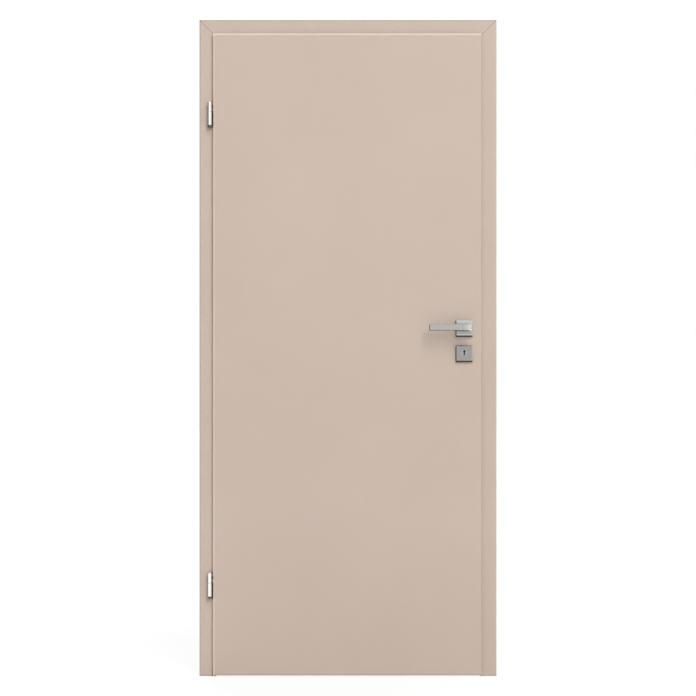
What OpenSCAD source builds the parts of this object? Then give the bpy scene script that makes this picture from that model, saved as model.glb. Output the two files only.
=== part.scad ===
// Interior door: a rebated flush leaf in a lining frame with mitred architraves.
// The origin is at floor level on the wall face of the hinge-side lining, half way through the wall.
// The leaf opens towards the front (-Y) and hangs on its left edge.

/* [Leaf] */
// Width of the leaf over its lips
leaf_w = 844; // [700:1:1000]
// Height of the leaf from its foot to the top of its lip
leaf_h = 2020; // [1900:1:2200]
// Thickness of the leaf
leaf_t = 40; // [38:0.5:46]
// Thickness of the lip that laps over the frame
lip_t = 14.5; // [13:0.5:17]
// Reach of the lip past the body of the leaf
lip_reach = 13; // [12:0.5:16]
// Rounding of the edges round the face of the leaf
leaf_edge_r = 5; // [1:0.5:6]
// Thickness of the facing boards
facing_t = 3; // [2:0.5:4]

/* [Gaps] */
// Gap between the lip and the face of the frame
lip_gap = 5; // [5:0.5:7]
// Gap between the body of the leaf and the rebate at the hinges
hinge_gap = 5; // [5:0.5:6]
// Gap between the body of the leaf and the rebate at the lock
lock_gap = 9; // [9:0.5:10]
// Gap between the body of the leaf and the rebate of the head
head_gap = 5; // [5:0.5:7]
// Gap between the leaf and the floor
floor_gap = 6; // [5:0.5:12]
// Gap between the leaf and the seals
seal_gap = 5; // [5:0.5:7]
// Clearance of a flat piece in its pocket
seat_gap = 0.2; // [0.1:0.05:0.3]
// Radial clearance of a turning fit
run_gap = 0.05; // [0.03:0.01:0.1]
// Gap between faces that turn past each other
turn_gap = 0.3; // [0.2:0.05:0.5]

/* [Frame] */
// Thickness of the wall that the frame lines
wall_t = 100; // [90:1:300]
// Thickness of the lining boards
lining_t = 24; // [22:0.5:30]
// Width of the stop that the leaf closes against
stop_w = 15; // [14:0.5:15]
// Rounding of the open edges of the lining
lining_edge_r = 2; // [1:0.5:3]
// Width of the front architraves
front_arch_w = 53; // [45:1:70]
// Width of the back architraves
back_arch_w = 60; // [50:1:75]
// Thickness of the architraves
arch_t = 16; // [14:0.5:20]
// Rounding of the outer edges of the architraves
arch_outer_r = 4; // [1:0.5:6]
// Rounding of the inner edges of the architraves
arch_inner_r = 2; // [1:0.5:4]
// Thickness of the tongue on each back architrave, in the middle of the lining
tongue_t = 6; // [5:0.5:8]
// Length of the tongue on each back architrave
tongue_l = 22; // [16:1:30]
// Depth left under the tongue in its groove
tongue_spare = 3; // [1:0.5:6]

/* [Seals] */
// Outer diameter of the hollow bulb of the seal
seal_d = 7; // [6:0.5:8]
// Reach of the bulb in front of the stop
seal_proud = 4.5; // [4:0.5:5]
// Wall of the bulb
seal_wall = 0.9; // [0.7:0.1:1.4]
// Width of the flange of the seal on the stop
seal_flange_w = 6.3; // [5.5:0.1:7]
// Distance from the rebate to the middle of the seal
seal_mid = 10.5; // [9:0.5:11]
// Width of the groove that holds the foot of the seal
seal_groove_w = 3; // [2.5:0.5:4]
// Depth of the groove that holds the foot of the seal
seal_groove_d = 6; // [5:0.5:8]

/* [Hinges] */
// Distance from the top of the leaf down to the joint of the upper hinge
upper_hinge_drop = 247; // [180:1:400]
// Height of the joint of the lower hinge above the floor
lower_hinge_z = 296; // [200:1:500]
// Distance from the turning axis to the edge of the lip
hinge_offset = 10; // [10:0.5:12]
// Distance from the turning axis to the face of the frame
hinge_stand = 12.5; // [12.5:0.5:14]
// Diameter of the barrel on the leaf
leaf_barrel_d = 15; // [14:0.5:15]
// Length of the barrel on the leaf
leaf_barrel_l = 32; // [28:1:40]
// Diameter of the barrel on the frame
frame_barrel_d = 15.6; // [14:0.1:16]
// Length of the barrel on the frame
frame_barrel_l = 49.5; // [44:0.5:60]
// Rounding of the ends of the barrels
barrel_end_r = 2.5; // [1:0.5:4]
// Rounding of the edges of the barrels at their joint
barrel_joint_r = 0.8; // [0.2:0.1:1.5]
// Diameter of the hinge pin
pin_d = 8; // [7:0.5:9]
// Reach of the hinge pin into the barrel of the leaf
pin_l = 24; // [18:1:26]
// Diameter of the two bolts that hold each barrel in the lip
bolt_d = 7; // [6:0.5:8]
// Length of these bolts inside the lip
bolt_l = 38; // [25:1:60]
// Distance between these bolts
bolt_pitch = 18; // [16:0.5:20]
// Thickness of the cranked plate that holds a barrel in the frame
plate_t = 3; // [2.5:0.5:3.5]
// Depth of the bend of this plate behind the face of the frame
plate_bend = 5.5; // [4:0.5:7]
// Height of this plate
plate_h = 38; // [30:1:42]
// Length of this plate behind the front architrave
plate_l = 30; // [20:1:40]
// Height of the receiver that clamps this plate
receiver_h = 56; // [48:1:70]
// Depth of this receiver past the end of the plate
receiver_spare = 4; // [3:0.5:8]
// Thickness of this receiver
receiver_t = 7; // [6.5:0.5:7.5]

/* [Lock] */
// Height of the lever axis above the floor
spindle_z = 1097; // [950:1:1150]
// Distance from the lever axis to the edge of the leaf body
backset = 42; // [40:1:60]
// Distance from the lever axis down to the turning axis of the key
key_drop = 72; // [68:1:92]
// Distance from the lever axis down to the middle of the key rose
key_rose_drop = 79.5; // [76:0.5:100]
// Length of the forend
forend_l = 235; // [200:1:260]
// Width of the forend
forend_w = 18; // [16:0.5:18]
// Thickness of the forend
forend_t = 3; // [2.5:0.5:4]
// Part of the forend above the lever axis
forend_rise = 75; // [60:1:90]
// Distance from the back of the leaf to the middle of the lock
lock_mid = 11; // [11:0.5:12]
// Height of the lock case
case_h = 165; // [150:1:180]
// Thickness of the lock case
case_t = 14; // [12:0.5:15]
// Depth of the lock case behind the lever axis
case_back = 28; // [22:1:40]
// Part of the lock case above the lever axis
case_rise = 40; // [25:1:60]
// Thickness of the tumblers that close the keyhole inside the case
tumbler_t = 4; // [2:0.5:6]
// Side of the square spindle
spindle_side = 8; // [7:0.5:9]
// Diameter of the hole through the case round the spindle
spindle_hole_d = 12.4; // [12.2:0.1:14]
// Thickness of the latch and the dead bolt
bolt_bar_t = 10; // [8:0.5:11]
// Height of the latch
latch_h = 18; // [14:1:22]
// Reach of the latch, drawn back, past the forend
latch_out = 4; // [2:0.5:4]
// Thickness left at the tip of the latch
latch_tip_t = 2.5; // [1.5:0.5:4]
// Length of the slope of the latch
latch_slope = 3.5; // [2:0.5:4]
// Length of the latch inside the lock
latch_in = 26; // [18:1:28]
// Height of the dead bolt
dead_bolt_h = 34; // [28:1:38]
// Distance from the key axis up to the middle of the dead bolt
dead_bolt_rise = 14; // [10:1:16]
// Thickness of the strike plate
strike_t = 2; // [1.5:0.5:2.5]
// Length of the strike plate
strike_l = 170; // [150:1:220]
// Width of the strike plate
strike_w = 25; // [22:0.5:27]
// Rounding of the corners of the strike plate
strike_corner_r = 3; // [1:0.5:6]
// Width left in the strike plate in front of its holes
strike_rail = 2; // [1.5:0.5:2.5]
// Part of the strike plate above the lever axis
strike_rise = 45; // [35:1:60]
// Depth of the strike pocket behind the strike plate
strike_pocket = 4.5; // [3:0.5:5]
// Clearance of a bolt in the holes of the strike plate
strike_play = 1; // [0.5:0.25:2]

/* [Handle set] */
// Side of the square roses
rose_side = 53; // [48:0.5:58]
// Thickness of the roses
rose_t = 9; // [6:0.5:12]
// Rounding of the corners of the roses
rose_corner_r = 3; // [1:0.5:6]
// Rounding of the edges of the roses
rose_edge_r = 3.6; // [0.5:0.1:4]
// Diameter of the hole in the leaf under a lever rose
spindle_bore_d = 20; // [18:0.5:24]
// Diameter of the hole in the leaf under a key rose
key_bore_d = 19; // [18:0.5:22]
// Diameter of the round insert in a key rose
insert_d = 22.5; // [21:0.5:30]
// Reach of the insert past the key rose
insert_proud = 0.4; // [0.2:0.1:1]
// Diameter of the round part of the keyhole
keyhole_d = 7.6; // [7.4:0.1:8]
// Width of the slot of the keyhole
keyhole_slot = 4; // [3:0.5:4.5]
// Diameter of the round foot of the slot
keyhole_foot_d = 5; // [4.5:0.1:6]
// Height of the whole keyhole
keyhole_h = 16.5; // [14:0.5:17.5]
// Reach of the lever from its axis to its free end
lever_l = 112; // [100:1:135]
// Reach of the heel of the lever past its axis
heel_l = 21.6; // [16:0.1:24]
// Distance from the leaf to the front of the lever
lever_stand = 60; // [54:0.5:66]
// Thickness of the lever bar
lever_t = 12; // [10:0.5:14]
// Height of the lever bar
lever_h = 20.5; // [18:0.5:24]
// Rise of the middle of the bar above its axis
lever_rise = 3; // [0:0.5:4]
// Rounding of the heel of the lever
heel_r = 16; // [12:0.5:17]
// Rounding of the long edges of the lever towards the user
lever_edge_r = 3.5; // [1:0.5:5.5]
// Rounding of the long edges of the lever towards the leaf
lever_back_r = 2.5; // [0.5:0.5:4]
// Rounding of the corners of the free end
lever_end_r = 2; // [0.5:0.5:4]
// Diameter of the neck inside the rose
neck_d = 18; // [16:0.5:20]
// Diameter of the neck between the rose and the bar
collar_d = 20; // [19:0.5:26]
// Rounding of this part of the neck where it meets the bar
collar_end_r = 8; // [2:0.5:9]
// Radius of the hollow between the neck and the bar
neck_r = 16; // [10:0.5:18]

/* [Hidden] */
$fn = 64;
over = 1;               // reach of a cutting solid past the face it cuts

frame_colour = [0.80, 0.73, 0.68];
leaf_colour = [0.79, 0.72, 0.67];
seal_colour = [0.62, 0.56, 0.51];
nickel_colour = [0.71, 0.71, 0.69];
chrome_colour = [0.78, 0.79, 0.80];
steel_colour = [0.62, 0.63, 0.63];
zinc_colour = [0.55, 0.56, 0.57];

// Depths, from the front of the leaf to the back of the frame
wall_front = -wall_t / 2;
wall_back = wall_t / 2;
frame_front = wall_front - arch_t;
frame_back = wall_back + arch_t;
lip_back = frame_front - lip_gap;
leaf_front = lip_back - lip_t;
leaf_back = leaf_front + leaf_t;
stop_y = leaf_back + seal_gap + seal_proud;

// Widths, from the wall face of the hinge-side lining
rebate_in = lining_t - stop_w;
body_x0 = rebate_in + hinge_gap;
lip_x0 = body_x0 - lip_reach;
lip_x1 = lip_x0 + leaf_w;
body_x1 = lip_x1 - lip_reach;
frame_w = body_x1 + lock_gap + rebate_in;
arch_out = front_arch_w - rebate_in;

// Heights above the floor
leaf_z0 = floor_gap;
leaf_z1 = leaf_z0 + leaf_h;
body_z1 = leaf_z1 - lip_reach;
frame_h = body_z1 + head_gap + rebate_in;

// Hinge axis and the crank of its plate
upper_hinge_z = leaf_z1 - upper_hinge_drop;
hinge_x = lip_x0 - hinge_offset;
hinge_y = frame_front - hinge_stand;
plate_x = receiver_t / 2;
crank_y = frame_front + plate_bend;
receiver_l = plate_l + receiver_spare;
barrel_gap = turn_gap / 2;

// Lock
lock_y = leaf_back - lock_mid;
spindle_x = body_x1 - backset;
key_z = spindle_z - key_drop;
key_rose_z = spindle_z - key_rose_drop;
keyhole_mid_z = key_z + keyhole_d / 2 - keyhole_h / 2;
forend_x = body_x1 - forend_t;
case_x0 = spindle_x - case_back;
dead_bolt_z = key_z + dead_bolt_rise;
bolt_length = forend_t + latch_in;
strike_front = lock_y - bolt_bar_t / 2 - strike_play - strike_rail;
strike_x = frame_w - rebate_in;

// Handle set
spindle_reach = 24;     // of the spindle into each lever, from the face of the rose
neck_seat = 1;          // gap between the end of the neck and the leaf
leaf_mid = (leaf_front + leaf_back) / 2;
collar_seat = rose_t + turn_gap;
bar_back = lever_stand - lever_t;
heel_flare = heel_l - collar_d / 2;
heel_under = bar_back - heel_flare / 2;
heel_left = collar_d / 2 + neck_r;

// One rectangle with a rounding at each front corner, front at y = 0
module fronted_rect(w, d, r_left, r_right) {
  difference() {
    square([w, d]);
    corner_waste(r_left);
    translate([w, 0]) mirror([1, 0]) corner_waste(r_right);
  }
}

// A rectangle with all four corners rounded, one of them at the origin
module round_rect(w, h, r) {
  difference() {
    square([w, h]);
    for (sx = [0, 1], sy = [0, 1])
      translate([sx * w, sy * h]) mirror([sx, 0]) mirror([0, sy]) corner_waste(r);
  }
}

// What a rounding of radius r takes off a corner at the origin
module corner_waste(r) {
  if (r > 0)
    difference() {
      translate([-over, -over]) square(r + over);
      translate([r, r]) circle(r);
    }
}

// What a hollow of radius r adds in a corner at the origin
module corner_fill(r) {
  difference() {
    square(r);
    translate([r, r]) circle(r);
  }
}

// A flat bar between two points of the plan
module plan_bar(from, to, w) {
  run = to - from;
  translate(from) rotate(atan2(run[1], run[0])) {
    translate([0, -w / 2]) square([norm(run), w]);
    translate([norm(run), 0]) circle(d = w);
  }
}

// Profiles across the frame: x runs from the wall face inwards, y through the wall
module lining_profile() {
  groove_x = rebate_in + seal_mid - seal_groove_w / 2;
  tongue_x = (lining_t - tongue_t) / 2;
  difference() {
    translate([0, wall_front]) square([lining_t, wall_t]);
    translate([rebate_in, wall_front - over]) square([stop_w + over, stop_y - wall_front + over]);
    translate([lining_t, stop_y]) mirror([1, 0]) corner_waste(lining_edge_r);
    translate([groove_x, stop_y - over]) square([seal_groove_w, seal_groove_d + over]);
    translate([tongue_x - seat_gap / 2, wall_back - tongue_l - tongue_spare])
      square([tongue_t + seat_gap, tongue_l + tongue_spare + over]);
  }
}

module front_architrave_profile() {
  translate([-arch_out, frame_front])
    fronted_rect(front_arch_w, arch_t, arch_outer_r, arch_inner_r);
}

module back_architrave_profile() {
  translate([-arch_out, frame_back]) mirror([0, 1])
    fronted_rect(back_arch_w, arch_t, arch_outer_r, arch_inner_r);
  translate([(lining_t - tongue_t) / 2, wall_back - tongue_l]) square([tongue_t, tongue_l]);
}

module seal_profile() {
  foot = seal_groove_w - seat_gap;
  bulb_y = stop_y - seal_proud + seal_d / 2;
  translate([rebate_in + seal_mid, 0]) {
    difference() {
      translate([0, bulb_y]) circle(d = seal_d);
      translate([0, bulb_y]) circle(d = seal_d - 2 * seal_wall);
      translate([-seal_d, stop_y]) square([2 * seal_d, seal_d]);
    }
    translate([-seal_flange_w / 2, stop_y - seal_wall]) square([seal_flange_w, seal_wall]);
    translate([-foot / 2, stop_y - seal_wall]) square([foot, seal_groove_d - seat_gap + seal_wall]);
  }
}

// A profile run up the hinge jamb and cut to the mitre of the corner
module hinge_jamb() {
  difference() {
    linear_extrude(frame_h + arch_out) children();
    translate([0, frame_back + over, 0]) rotate([90, 0, 0])
      linear_extrude(frame_back - leaf_front + 2 * over)
        polygon([[-arch_out - over, frame_h + arch_out + over], [frame_h, 0],
                 [frame_h, frame_h + arch_out + over]]);
  }
}

module lock_jamb() {
  translate([frame_w, 0, 0]) mirror([1, 0, 0]) hinge_jamb() children();
}

// A profile run along the head and cut to the mitres of both corners
module head() {
  reach = arch_out + over;
  inner = back_arch_w;
  difference() {
    translate([-arch_out, 0, frame_h]) rotate([0, 90, 0])
      linear_extrude(frame_w + 2 * arch_out) children();
    for (side = [0, 1])
      translate([side * frame_w, 0, 0]) mirror([side, 0, 0])
        translate([0, frame_back + over, 0]) rotate([90, 0, 0])
          linear_extrude(frame_back - leaf_front + 2 * over)
            polygon([[-reach, frame_h + reach], [inner, frame_h - inner], [-reach, frame_h - inner]]);
  }
}

// The cranked plate of a hinge, with play all round where it is a slot
module hinge_plate(play) {
  bend = [plate_x, crank_y];
  tip = [plate_x, wall_front + plate_l];
  translate([0, 0, -play]) linear_extrude(plate_h + 2 * play) {
    plan_bar([hinge_x, hinge_y], bend, plate_t + 2 * play);
    plan_bar(bend, tip, plate_t + 2 * play);
  }
}

function plate_z(joint_z) = joint_z - barrel_gap - (frame_barrel_l + plate_h) / 2;

module hinge_plate_slots() {
  for (joint_z = [upper_hinge_z, lower_hinge_z])
    translate([0, 0, plate_z(joint_z)]) hinge_plate(seat_gap);
}

module receiver_pockets() {
  for (joint_z = [upper_hinge_z, lower_hinge_z])
    translate([-over, wall_front - over, plate_z(joint_z) - (receiver_h - plate_h) / 2])
      cube([receiver_t + over, receiver_l + over, receiver_h]);
}

// The round-cornered outline of the strike plate, t thick along x
module strike_outline(x, t) {
  translate([x, strike_front, spindle_z + strike_rise]) rotate([0, 90, 0])
    linear_extrude(t) round_rect(strike_l, strike_w, strike_corner_r);
}

// Space of the strike plate and of the bolts behind it
module strike_pocket_cut() {
  strike_outline(strike_x - over, strike_t + over);
  strike_holes(strike_t + strike_pocket);
}

module strike_holes(depth) {
  slot_t = bolt_bar_t + 2 * strike_play;
  for (hole = [[spindle_z, latch_h], [dead_bolt_z, dead_bolt_h]])
    translate([strike_x - over, lock_y - slot_t / 2, hole[0] - hole[1] / 2 - strike_play])
      cube([depth + over, slot_t, hole[1] + 2 * strike_play]);
}

module hinge_jamb_lining() {
  color(frame_colour) difference() {
    hinge_jamb() lining_profile();
    receiver_pockets();
  }
}

module lock_jamb_lining() {
  color(frame_colour) difference() {
    lock_jamb() lining_profile();
    strike_pocket_cut();
  }
}

module head_lining() {
  color(frame_colour) head() lining_profile();
}

module hinge_front_architrave() {
  color(frame_colour) difference() {
    hinge_jamb() front_architrave_profile();
    hinge_plate_slots();
  }
}

module lock_front_architrave() {
  color(frame_colour) difference() {
    lock_jamb() front_architrave_profile();
    strike_pocket_cut();
  }
}

module head_front_architrave() {
  color(frame_colour) head() front_architrave_profile();
}

module hinge_back_architrave() {
  color(frame_colour) hinge_jamb() back_architrave_profile();
}

module lock_back_architrave() {
  color(frame_colour) lock_jamb() back_architrave_profile();
}

module head_back_architrave() {
  color(frame_colour) head() back_architrave_profile();
}

module hinge_jamb_seal() {
  color(seal_colour) hinge_jamb() seal_profile();
}

module lock_jamb_seal() {
  color(seal_colour) lock_jamb() seal_profile();
}

module head_seal() {
  color(seal_colour) head() seal_profile();
}

module strike_plate() {
  color(steel_colour) difference() {
    strike_outline(strike_x, strike_t);
    strike_holes(strike_t + over);
  }
}

module hinge_receiver(joint_z) {
  color(zinc_colour) difference() {
    translate([0, wall_front, plate_z(joint_z) - (receiver_h - plate_h) / 2])
      cube([receiver_t, receiver_l, receiver_h]);
    translate([0, 0, plate_z(joint_z)]) hinge_plate(seat_gap / 2);
  }
}

// A turned piece that stands on z = 0, with a rounding at its foot and one at its far end
module turned(d, l, foot_r, end_r) {
  rotate_extrude() difference() {
    square([d / 2, l]);
    translate([d / 2, 0]) mirror([1, 0]) corner_waste(foot_r);
    translate([d / 2, l]) mirror([1, 0]) mirror([0, 1]) corner_waste(end_r);
  }
}

module hinge_frame_part(joint_z) {
  pin_root = frame_barrel_l / 2;
  color(chrome_colour) {
    translate([hinge_x, hinge_y, joint_z - barrel_gap]) {
      mirror([0, 0, 1]) turned(frame_barrel_d, frame_barrel_l, barrel_joint_r, barrel_end_r);
      translate([0, 0, -pin_root]) cylinder(d = pin_d, h = pin_root + turn_gap + pin_l);
    }
    translate([0, 0, plate_z(joint_z)]) hinge_plate(0);
  }
}

module hinge_leaf_part(joint_z) {
  bolt_z0 = joint_z + barrel_gap + (leaf_barrel_l - bolt_pitch) / 2;
  color(chrome_colour) {
    translate([hinge_x, hinge_y, joint_z + barrel_gap]) difference() {
      turned(leaf_barrel_d, leaf_barrel_l, barrel_joint_r, barrel_end_r);
      translate([0, 0, -over]) cylinder(d = pin_d + 2 * run_gap, h = pin_l + 2 * over);
    }
    difference() {
      for (step = [0, 1])
        translate([hinge_x, hinge_y, bolt_z0 + step * bolt_pitch]) rotate([0, 90, 0])
          cylinder(d = bolt_d, h = hinge_offset + bolt_l);
      translate([hinge_x, hinge_y, joint_z - over])
        cylinder(d = (leaf_barrel_d + pin_d) / 2, h = leaf_barrel_l + 2 * over);
    }
  }
}

// Holes in the lip for the bolts of both hinges
module hinge_bolt_holes() {
  for (joint_z = [upper_hinge_z, lower_hinge_z], step = [0, 1])
    translate([lip_x0 - over, hinge_y,
               joint_z + barrel_gap + (leaf_barrel_l - bolt_pitch) / 2 + step * bolt_pitch])
      rotate([0, 90, 0]) cylinder(d = bolt_d + 2 * run_gap, h = bolt_l + 2 * over);
}

// The lip part of the leaf, its edges rounded on three sides, drawn in by inset
module lip_block(inset, depth, foot_z) {
  r = max(leaf_edge_r - inset, 0);
  w = leaf_w - 2 * inset;
  h = leaf_z1 - inset - foot_z;
  intersection() {
    translate([lip_x0 + inset, leaf_front + inset, foot_z])
      linear_extrude(h) fronted_rect(w, depth, r, r);
    translate([lip_x0 + inset, leaf_front + inset, foot_z + h]) rotate([0, 90, 0])
      linear_extrude(w) fronted_rect(h, depth, r, 0);
  }
}

// Everything that is bored through the leaf
module leaf_bores() {
  for (bore = [[spindle_z, spindle_bore_d], [keyhole_mid_z, key_bore_d]])
    translate([spindle_x, leaf_front - over, bore[0]]) rotate([-90, 0, 0])
      cylinder(d = bore[1], h = leaf_t + 2 * over);
}

// Pocket of the forend, the lock case and the bolts
module lock_pocket() {
  forend_outline(forend_x, forend_t + over, seat_gap);
  translate([case_x0 - seat_gap, lock_y - case_t / 2 - seat_gap, spindle_z + case_rise - case_h - seat_gap])
    cube([body_x1 - case_x0, case_t + 2 * seat_gap, case_h + 2 * seat_gap]);
}

// The round-ended outline of the forend, t thick along x
module forend_outline(x, t, play) {
  r = forend_w / 2 + play;
  top = spindle_z + forend_rise - forend_w / 2;
  bottom = spindle_z + forend_rise - forend_l + forend_w / 2;
  for (z = [bottom, top]) translate([x, lock_y, z]) rotate([0, 90, 0]) cylinder(r = r, h = t);
  translate([x, lock_y - r, bottom]) cube([t, 2 * r, top - bottom]);
}

module leaf_front_facing() {
  color(leaf_colour) difference() {
    lip_block(0, lip_t, leaf_z0);
    lip_block(facing_t, lip_t, leaf_z0 - over);
    leaf_bores();
    hinge_bolt_holes();
  }
}

module leaf_core() {
  color(leaf_colour) difference() {
    union() {
      lip_block(facing_t, lip_t - facing_t, leaf_z0);
      translate([body_x0, lip_back, leaf_z0])
        cube([body_x1 - body_x0, leaf_back - lip_back - facing_t, body_z1 - leaf_z0]);
    }
    leaf_bores();
    hinge_bolt_holes();
    lock_pocket();
  }
}

module leaf_back_facing() {
  color(leaf_colour) difference() {
    translate([body_x0, leaf_back - facing_t, leaf_z0])
      cube([body_x1 - body_x0, facing_t, body_z1 - leaf_z0]);
    leaf_bores();
    lock_pocket();
  }
}

// The latch and the dead bolt where they pass the forend, with play where they are holes
module bolt_bars(play) {
  for (bar = [[spindle_z, latch_h], [dead_bolt_z, dead_bolt_h]])
    translate([body_x1 - bolt_length - play, lock_y - bolt_bar_t / 2 - play, bar[0] - bar[1] / 2 - play])
      cube([bolt_length + play + over, bolt_bar_t + 2 * play, bar[1] + 2 * play]);
}

module lock_forend() {
  color(steel_colour) difference() {
    forend_outline(forend_x, forend_t, 0);
    bolt_bars(seat_gap);
  }
}

// The outline of the keyhole, its round part about the origin
module keyhole_shape() {
  foot = keyhole_d / 2 + keyhole_foot_d / 2 - keyhole_h;
  circle(d = keyhole_d);
  translate([0, foot]) circle(d = keyhole_foot_d);
  translate([-keyhole_slot / 2, foot]) square([keyhole_slot, -foot]);
}

module keyhole_cut(y, depth) {
  translate([spindle_x, y + depth, key_z]) rotate([90, 0, 0]) linear_extrude(depth) keyhole_shape();
}

module lock_case() {
  color(zinc_colour) difference() {
    translate([case_x0, lock_y - case_t / 2, spindle_z + case_rise - case_h])
      cube([forend_x - case_x0, case_t, case_h]);
    translate([spindle_x, lock_y - case_t, spindle_z]) rotate([-90, 0, 0])
      cylinder(d = spindle_hole_d, h = 2 * case_t);
    keyhole_cut(lock_y - case_t, case_t - tumbler_t / 2);
    keyhole_cut(lock_y + tumbler_t / 2, case_t - tumbler_t / 2);
    bolt_bars(seat_gap);
  }
}

module latch_bolt() {
  reach = bolt_length + latch_out;
  color(steel_colour)
    translate([body_x1 - bolt_length, lock_y - bolt_bar_t / 2, spindle_z - latch_h / 2])
      linear_extrude(latch_h)
        polygon([[0, 0], [reach, 0], [reach, latch_tip_t], [reach - latch_slope, bolt_bar_t],
                 [0, bolt_bar_t]]);
}

module dead_bolt() {
  color(steel_colour)
    translate([body_x1 - bolt_length, lock_y - bolt_bar_t / 2, dead_bolt_z - dead_bolt_h / 2])
      cube([bolt_length, bolt_bar_t, dead_bolt_h]);
}

// Puts a piece of the front on the back of the leaf as well
module on_back() {
  translate([0, 2 * leaf_mid, 0]) mirror([0, 1, 0]) children();
}

// A square rose with rounded corners and edges, its middle at (0, 0), its seat at y = 0
module rose_body() {
  half = rose_side / 2;
  intersection() {
    translate([-half, -rose_t, -half]) linear_extrude(rose_side)
      fronted_rect(rose_side, rose_t, rose_edge_r, rose_edge_r);
    translate([-half, -rose_t, half]) rotate([0, 90, 0]) linear_extrude(rose_side)
      fronted_rect(rose_side, rose_t, rose_edge_r, rose_edge_r);
    translate([-half, 0, -half]) rotate([90, 0, 0]) linear_extrude(rose_t)
      round_rect(rose_side, rose_side, rose_corner_r);
  }
}

module lever_rose() {
  color(nickel_colour) difference() {
    translate([spindle_x, leaf_front, spindle_z]) rose_body();
    translate([spindle_x, leaf_front + over, spindle_z]) rotate([90, 0, 0])
      cylinder(d = neck_d + 2 * run_gap, h = rose_t + 2 * over);
  }
}

module key_rose() {
  color(nickel_colour) difference() {
    translate([spindle_x, leaf_front, key_rose_z]) rose_body();
    translate([spindle_x, leaf_front + over, keyhole_mid_z]) rotate([90, 0, 0])
      cylinder(d = insert_d + 2 * run_gap, h = rose_t + 2 * over);
  }
}

module keyhole_insert() {
  color(nickel_colour) difference() {
    translate([spindle_x, leaf_front, keyhole_mid_z]) rotate([90, 0, 0])
      cylinder(d = insert_d, h = rose_t + insert_proud);
    keyhole_cut(leaf_front - rose_t - insert_proud - over, rose_t + insert_proud + 2 * over);
  }
}

// The plan of the heel and neck: x along the bar, y away from the leaf
module heel_plan() {
  half = collar_d / 2;
  root = min(bar_back - neck_r, heel_under - heel_flare);
  difference() {
    union() {
      translate([-heel_left, bar_back]) square([heel_left + heel_l, lever_t]);
      translate([-half, root]) square([collar_d, lever_stand - root]);
      translate([-half, heel_under]) square([half + heel_l, lever_stand - heel_under]);
      translate([-half, bar_back]) mirror([1, 0]) mirror([0, 1]) corner_fill(neck_r);
      translate([half, heel_under]) mirror([0, 1]) corner_fill(heel_flare);
    }
    translate([heel_l, lever_stand]) mirror([1, 0]) mirror([0, 1]) corner_waste(heel_r);
  }
}

// The section of the bar, its front at y = 0
module lever_section() {
  difference() {
    fronted_rect(lever_h, lever_t, lever_edge_r, lever_edge_r);
    for (side = [0, 1])
      translate([side * lever_h, lever_t]) mirror([side, 0]) mirror([0, 1]) corner_waste(lever_back_r);
  }
}

// The bar from its free end to the axis: its section, cut to its outlines from the front and above
module lever_bar() {
  intersection() {
    translate([-lever_l, -lever_stand, lever_h]) rotate([0, 90, 0])
      linear_extrude(lever_l) lever_section();
    translate([-lever_l, -bar_back, 0]) rotate([90, 0, 0]) linear_extrude(lever_t) difference() {
      square([lever_l, lever_h]);
      for (side = [0, 1])
        translate([0, side * lever_h]) mirror([0, side]) corner_waste(lever_end_r);
    }
    translate([-lever_l, -lever_stand, 0])
      linear_extrude(lever_h) fronted_rect(lever_l, lever_t, lever_edge_r, 0);
  }
}

// The heel that turns back into the neck
module lever_heel() {
  intersection() {
    linear_extrude(lever_h) mirror([0, 1]) heel_plan();
    translate([-heel_left, -lever_stand, lever_h]) rotate([0, 90, 0])
      linear_extrude(heel_left + heel_l) fronted_rect(lever_h, lever_stand, lever_edge_r, lever_edge_r);
  }
}

// The lever with its neck about the spindle axis, its bar to the left
module lever_body() {
  translate([0, 0, lever_rise - lever_h / 2]) {
    lever_bar();
    lever_heel();
  }
  rotate([90, 0, 0]) {
    translate([0, 0, neck_seat]) cylinder(d = neck_d, h = bar_back - neck_seat);
    translate([0, 0, collar_seat]) turned(collar_d, bar_back - collar_seat, 0, collar_end_r);
  }
}

module lever() {
  socket = spindle_side + 2 * run_gap;
  color(nickel_colour) difference() {
    translate([spindle_x, leaf_front, spindle_z]) lever_body();
    translate([spindle_x - socket / 2, leaf_front - rose_t - spindle_reach - over, spindle_z - socket / 2])
      cube([socket, rose_t + spindle_reach + 2 * over, socket]);
  }
}

module spindle() {
  reach = rose_t + spindle_reach;
  color(steel_colour)
    translate([spindle_x - spindle_side / 2, leaf_front - reach, spindle_z - spindle_side / 2])
      cube([spindle_side, leaf_t + 2 * reach, spindle_side]);
}

hinge_jamb_lining();
lock_jamb_lining();
head_lining();
hinge_front_architrave();
lock_front_architrave();
head_front_architrave();
hinge_back_architrave();
lock_back_architrave();
head_back_architrave();
hinge_jamb_seal();
lock_jamb_seal();
head_seal();
strike_plate();
hinge_receiver(upper_hinge_z);  // upper_hinge_receiver
hinge_receiver(lower_hinge_z);  // lower_hinge_receiver
hinge_frame_part(upper_hinge_z);  // upper_hinge_frame_part
hinge_frame_part(lower_hinge_z);  // lower_hinge_frame_part
leaf_core();
leaf_front_facing();
leaf_back_facing();
hinge_leaf_part(upper_hinge_z);  // upper_hinge_leaf_part
hinge_leaf_part(lower_hinge_z);  // lower_hinge_leaf_part
lock_forend();
lock_case();
latch_bolt();
dead_bolt();
lever_rose();  // front_lever_rose
on_back() lever_rose();  // back_lever_rose
key_rose();  // front_key_rose
on_back() key_rose();  // back_key_rose
keyhole_insert();  // front_keyhole_insert
on_back() keyhole_insert();  // back_keyhole_insert
lever();  // front_lever
on_back() lever();  // back_lever
spindle();
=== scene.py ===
"""Dresses the rebated interior door: finishes, small fittings, studio light and camera.

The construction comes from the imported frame. This script gives every node its finish, adds the small
fittings that the frame leaves out, and sets up a plain pale studio round the door. Sizes are in metres.
"""

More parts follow.
